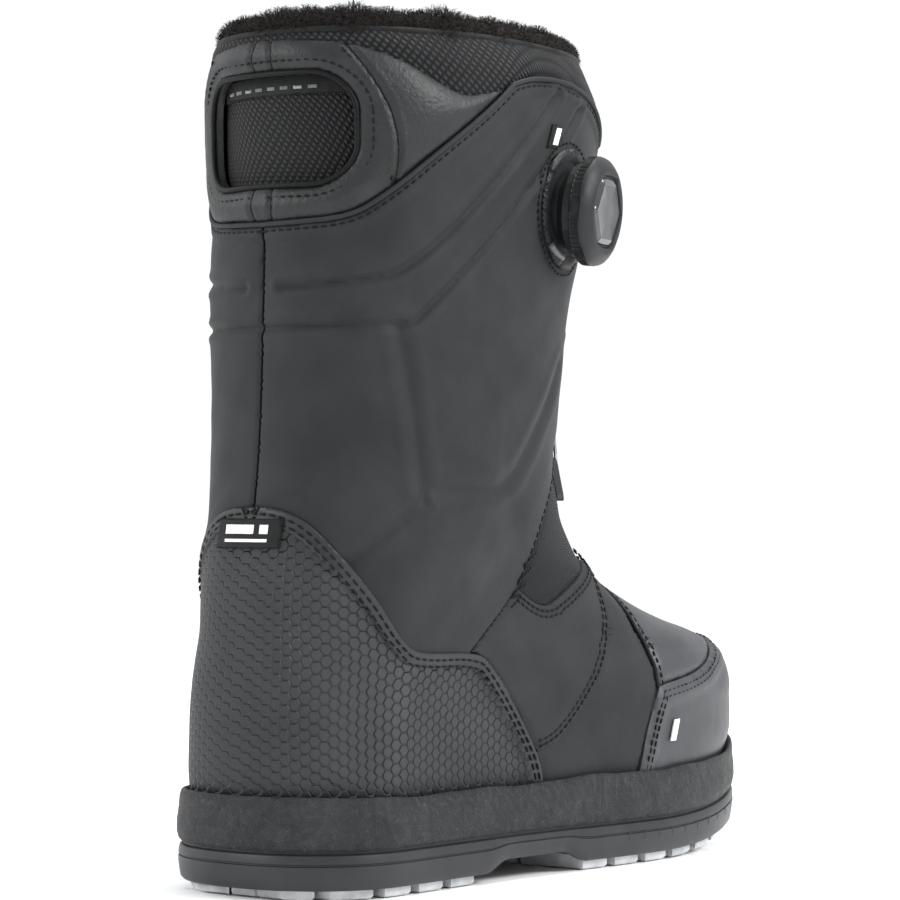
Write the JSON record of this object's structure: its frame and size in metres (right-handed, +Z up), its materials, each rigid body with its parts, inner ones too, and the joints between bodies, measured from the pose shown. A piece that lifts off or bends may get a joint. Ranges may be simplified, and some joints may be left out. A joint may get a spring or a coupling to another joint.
{
  "type": "snowboard boot",
  "caption": "Right-foot snowboard boot with a side dial lace winder, a padded collar with a grip window, a removable-style liner and a cupped rubber sole.",
  "frame": {"origin": "on the floor, under the middle of the heel pad, 45 mm in front of the back of the heel", "axes": "+Z up, the toe towards -Y, the outer side of this right-foot boot towards -X"},
  "size_m": [0.1392, 0.3061, 0.325],
  "materials": {
    "outsole_rubber": "matt",
    "carrier_rubber": "satin",
    "foxing_rubber": "fine leather-like grain",
    "midsole_foam": "matt foam",
    "steel": "bright",
    "board": "fibre board",
    "hex_synthetic": "hexagon emboss",
    "stiffener": "matt",
    "shell_synthetic": "matt nubuck-like",
    "stretch_fabric": "ribbed stretch",
    "toe_synthetic": "smooth satin",
    "grained_leather": "grained, semi-gloss",
    "liner_mesh": "woven mesh",
    "pile": "short curly pile",
    "webbing": "woven",
    "moulded_plastic": "satin",
    "knob_rubber": "moulded, satin",
    "gloss_cap": "gloss",
    "woven_label": "woven",
    "badge": "satin"
  },
  "bodies": {
    "root": {"outsole_heel": "outsole_rubber", "outsole_forefoot": "outsole_rubber", "midsole_carrier": "carrier_rubber", "foxing_cup": "foxing_rubber", "midsole_foam": "midsole_foam", "shank": "steel", "lasting_board": "board", "heel_counter_cover": "hex_synthetic", "heel_counter_stiffener": "stiffener", "shaft_panel_lateral": "shell_synthetic", "shaft_panel_medial": "shell_synthetic", "quarter_lateral": "shell_synthetic", "quarter_medial": "shell_synthetic", "flex_gusset_lateral": "stretch_fabric", "flex_gusset_medial": "stretch_fabric", "vamp": "shell_synthetic", "toe_box_panel": "toe_synthetic", "toe_cap": "toe_synthetic", "toe_puff": "stiffener", "collar_yoke": "grained_leather", "liner_foot": "liner_mesh", "liner_cuff_lateral": "liner_mesh", "liner_cuff_medial": "liner_mesh", "liner_window_mesh": "liner_mesh", "liner_collar": "pile", "footbed": "midsole_foam", "lace": "steel", "dial_pod": "moulded_plastic", "dial_base": "moulded_plastic", "dial_screw": "steel", "heel_label": "woven_label", "shaft_badge": "badge", "toe_badge": "badge", "guide_lateral_1": "moulded_plastic", "guide_lateral_2": "moulded_plastic", "guide_lateral_3": "moulded_plastic", "guide_medial_1": "moulded_plastic", "guide_medial_2": "moulded_plastic", "guide_medial_3": "moulded_plastic"},
    "tongue": {"shell_tongue": "shell_synthetic", "liner_tongue": "liner_mesh", "tongue_pull_loop": "webbing"},
    "dial_drive": {"dial_drive": "moulded_plastic"},
    "dial_knob": {"dial_knob": "knob_rubber", "dial_cap": "gloss_cap"},
    "dial_spool": {"dial_spool": "moulded_plastic"}
  },
  "joints": [
    {"name": "dial_spin", "type": "hinge", "parent": "root", "child": "dial_drive", "pos_m": [-0.06592, -0.08675, 0.25413], "axis": [-0.9576, -0.2746, -0.0872], "continuous": true},
    {"name": "spool_spin", "type": "hinge", "parent": "root", "child": "dial_spool", "pos_m": [-0.06592, -0.08675, 0.25413], "axis": [-0.9576, -0.2746, -0.0872], "continuous": true},
    {"name": "dial_pull", "type": "slide", "parent": "dial_drive", "child": "dial_knob", "axis": [-0.9576, -0.2746, -0.0872], "range_m": [0, 0.003]},
    {"name": "tongue_open", "type": "hinge", "parent": "root", "child": "tongue", "pos_m": [0, -0.14, 0.119], "axis": [1, 0, 0], "range_deg": [0, 20], "stiffness_Nm_per_rad": 0.4, "springref_deg": -11.46, "deforming": ["lace"]}
  ],
  "couplings": [
    {"joint": "spool_spin", "follows": "dial_spin", "ratio": 1}
  ]
}
